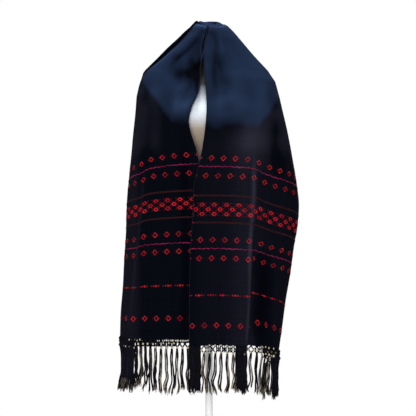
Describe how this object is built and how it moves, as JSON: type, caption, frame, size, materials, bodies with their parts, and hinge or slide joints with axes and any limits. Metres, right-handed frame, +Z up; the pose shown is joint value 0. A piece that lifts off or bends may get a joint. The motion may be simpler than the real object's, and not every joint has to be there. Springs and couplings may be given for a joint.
{
  "type": "rebozo shawl on dress form",
  "caption": "Handwoven rebozo shawl with brocaded bands and knotted fringe, worn over the neck of a limbless dress form on a round stand.",
  "frame": {"origin": "centre of the stand's underside, on the floor", "axes": "+Z up, -Y towards the front of the shawl, +X to the right as seen from the front"},
  "size_m": [0.5367, 0.392, 1.5103],
  "materials": {
    "cloth": "matt handwoven cotton",
    "fringe": "matt cotton yarn",
    "form_cover": "matt linen",
    "stand": "satin paint"
  },
  "bodies": {
    "root": {"shawl_back": "cloth", "shawl_left_end": "cloth", "shawl_right_end": "cloth", "fringe_left": "fringe", "fringe_right_front": "fringe", "fringe_right_lap": "fringe", "fringe_right_rear": "fringe", "form_torso": "form_cover", "form_post": "stand", "form_base": "stand"}
  },
  "joints": []
}
